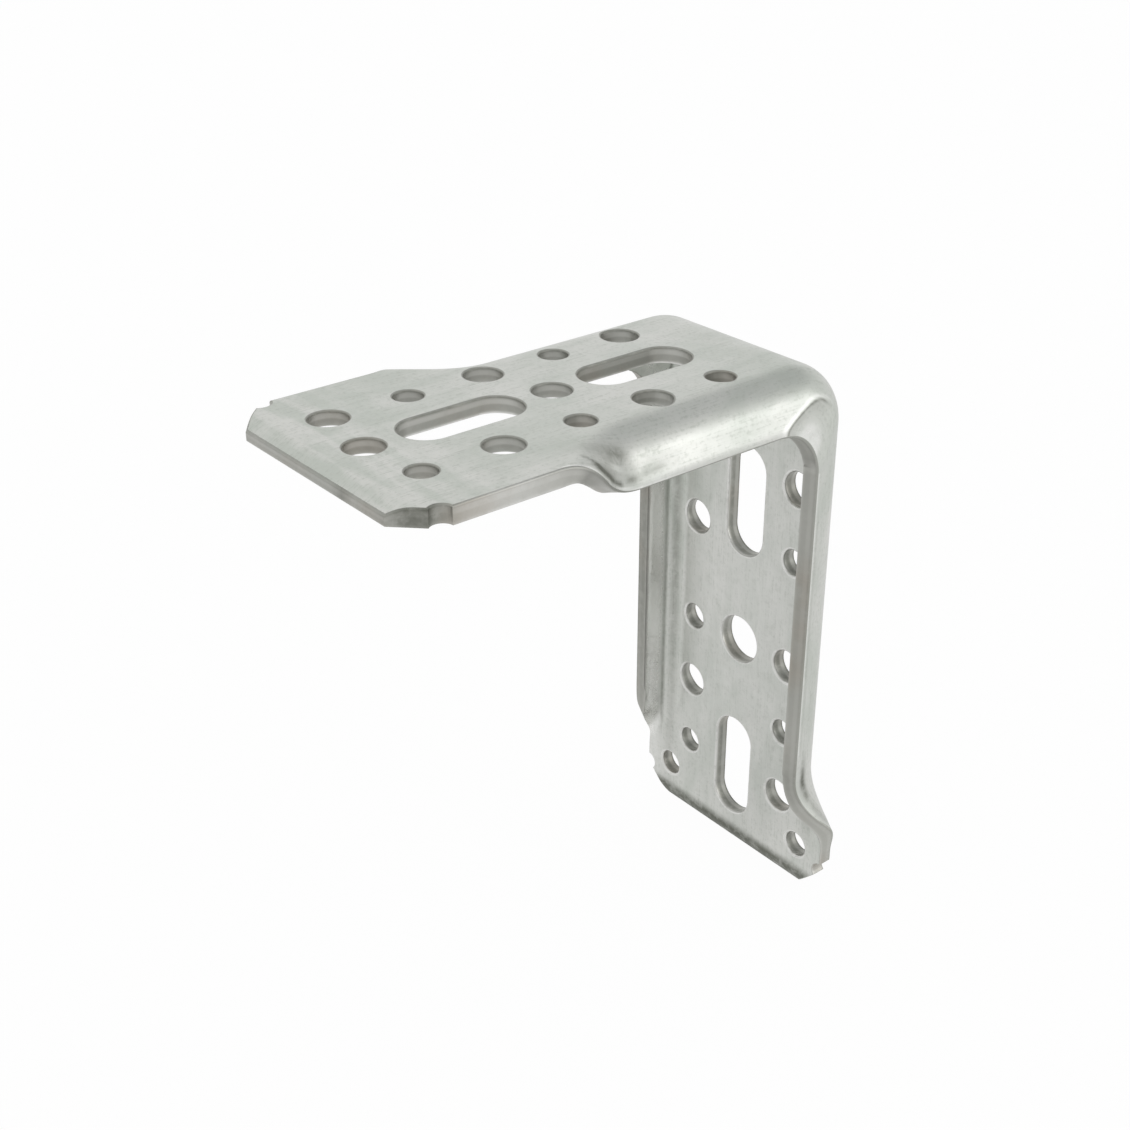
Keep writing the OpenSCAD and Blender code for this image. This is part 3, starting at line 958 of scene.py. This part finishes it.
def card_material():
    """The matt grey card that hangs over the bracket and shows as the darker band in its bends."""
    material = bpy.data.materials.new("grey_card")
    sh = Shader(material)
    surface = sh.node("ShaderNodeBsdfDiffuse", None, {"Color": CARD_TONE})
    sh.finish("ShaderNodeOutputMaterial", surface)
    return material


def sheet_mesh(name, middle, across, along, steps=3):
    """A flat square: its middle plus two vectors times evenly spaced shares from -1 to 1."""
    t = np.linspace(-1, 1, steps)
    x, y = (grid.reshape(-1, 1) for grid in np.meshgrid(t, t))
    place = np.array(middle) + x * np.array(across) + y * np.array(along)
    i = (np.arange(steps - 1)[:, None] * steps + np.arange(steps - 1)).reshape(-1)
    mesh = bpy.data.meshes.new(name)
    mesh.from_pydata(place.tolist(), [], np.stack([i, i + 1, i + steps + 1, i + steps], -1).tolist())
    return mesh


def sky(scene):
    """The room: white where the camera and the metal see it, and a little less as a light."""
    world = bpy.data.worlds.new("studio")
    scene.world = world
    sh = Shader(world)
    camera, mirrored = seen_white(sh)
    tint = sh.blend((camera + mirrored).held(), rgba([SKY_LIGHT] * 3), rgba([1.0] * 3))
    sh.finish("ShaderNodeOutputWorld", sh.node("ShaderNodeBackground", None, {"Color": tint}))


def softbox(scene, name, place, width, power):
    """A square lamp that looks at the bracket's middle."""
    lamp = bpy.data.lights.new(name, "AREA")
    lamp.shape, lamp.size, lamp.energy = "SQUARE", width, power
    obj = bpy.data.objects.new(name, lamp)
    obj.location = place
    obj.rotation_euler = Vector(place).to_track_quat("Z", "Y").to_euler()
    scene.collection.objects.link(obj)


# the softbox's place and width, and the card's middle and its two half sides, in metres
SIDE_BOX = (0.95, 0.63, 0.2)
SIDE_BOX_WIDTH = 0.7
CARD = ((0.05, 0.72, 1.0), (0.6, 0, 0), (0, -0.42, 0.25))
# the floor's half side and how far it lies under the bracket
FLOOR_HALF = 3
FLOOR_GAP = 0.2 * MM
# the photograph's side and the focal length in its pixels, then the camera's place in metres,
# and its azimuth, elevation and roll in degrees
PHOTO_SIDE = 1130
FOCAL_PX = 1610.0
SENSOR = 36.0
CAMERA_AT = (0.2466, -0.2578, 0.2057)
CAMERA_TURN = (51.27, 27.69, -0.30)


def add_camera(scene):
    """The camera at the photograph's viewing angle: azimuth and elevation of the line towards it,
    and a small roll."""
    az, el, roll = (math.radians(v) for v in CAMERA_TURN)
    back = Vector((math.sin(az) * math.cos(el), -math.cos(az) * math.cos(el), math.sin(el)))
    right = Vector((0, 0, 1)).cross(back).normalized()
    up = back.cross(right)
    data = bpy.data.cameras.new("camera")
    data.sensor_width = SENSOR
    data.lens = SENSOR * FOCAL_PX / PHOTO_SIDE
    camera = bpy.data.objects.new("camera", data)
    turn = camera.matrix_world.to_3x3()
    turn.col[0] = right * math.cos(roll) + up * math.sin(roll)
    turn.col[1] = up * math.cos(roll) - right * math.sin(roll)
    turn.col[2] = back
    placed = turn.to_4x4()
    placed.translation = CAMERA_AT
    camera.matrix_world = placed
    scene.collection.objects.link(camera)
    scene.camera = camera


class BRACKET_OT_sheet(bpy.types.Operator):
    """Builds the pressed sheet that stands for the bracket's solid"""

    bl_idname = "bracket.sheet"
    bl_label = "Build the bracket"

    def execute(self, context):
        scene = context.scene
        holes = scene.bracket_holes
        place, *rest = pressed_sheet(Strip(scene.bracket_sheet), holes)
        mesh = write_mesh("pressed_sheet", place + np.array([0, 0, holes.wall_bolt]), *rest)
        piece = add_object("pressed_sheet", mesh, zinc_material(scene.bracket_finish))
        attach(piece, "root")
        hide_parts("bracket")
        return {"FINISHED"}


class BRACKET_OT_stage(bpy.types.Operator):
    """Adds the floor, the light and the camera"""

    bl_idname = "bracket.stage"
    bl_label = "Build the stage"

    def execute(self, context):
        scene = context.scene
        look = scene.bracket_finish
        low = CAD_BOX[0][2] - FLOOR_GAP
        flat = sheet_mesh("floor", (0, 0, low), (FLOOR_HALF, 0, 0), (0, FLOOR_HALF, 0))
        floor = add_object("floor", flat, pale_material(look))
        card = add_object("grey_card", sheet_mesh("grey_card", *CARD), card_material())
        sky(scene)
        softbox(scene, "side_box", SIDE_BOX, SIDE_BOX_WIDTH, look.side_light)
        add_camera(scene)
        scene.view_settings.view_transform = "Standard"
        return {"FINISHED"}


class BRACKET_PT_panel(bpy.types.Panel):
    """Lists the sizes, the finish and the two builders"""

    bl_label = "Angle bracket"
    bl_idname = "BRACKET_PT_panel"
    bl_space_type = "VIEW_3D"
    bl_region_type = "UI"
    bl_category = "Bracket"

    def draw(self, context):
        scene = context.scene
        for group in (scene.bracket_sheet, scene.bracket_holes, scene.bracket_finish):
            box = self.layout.box()
            for name in type(group).__annotations__:
                box.prop(group, name)
        self.layout.operator("bracket.sheet")
        self.layout.operator("bracket.stage")


CLASSES = (BracketSheet, BracketHoles, BracketFinish, BRACKET_OT_sheet, BRACKET_OT_stage, BRACKET_PT_panel)


def register():
    """Registers the classes and hangs the three groups of settings on the scene."""
    for item in CLASSES:
        bpy.utils.register_class(item)
    bpy.types.Scene.bracket_sheet = PointerProperty(type=BracketSheet)
    bpy.types.Scene.bracket_holes = PointerProperty(type=BracketHoles)
    bpy.types.Scene.bracket_finish = PointerProperty(type=BracketFinish)


def unregister():
    """Takes back what register did."""
    del bpy.types.Scene.bracket_finish
    del bpy.types.Scene.bracket_holes
    del bpy.types.Scene.bracket_sheet
    for item in reversed(CLASSES):
        bpy.utils.unregister_class(item)


def corners(box):
    """A box's two corners as plain lists of numbers."""
    return [[float(v) for v in corner] for corner in box]


def main():
    """Builds everything in order."""
    register()
    bpy.ops.bracket.sheet()
    bpy.ops.bracket.stage()


if __name__ == "__main__":
    main()
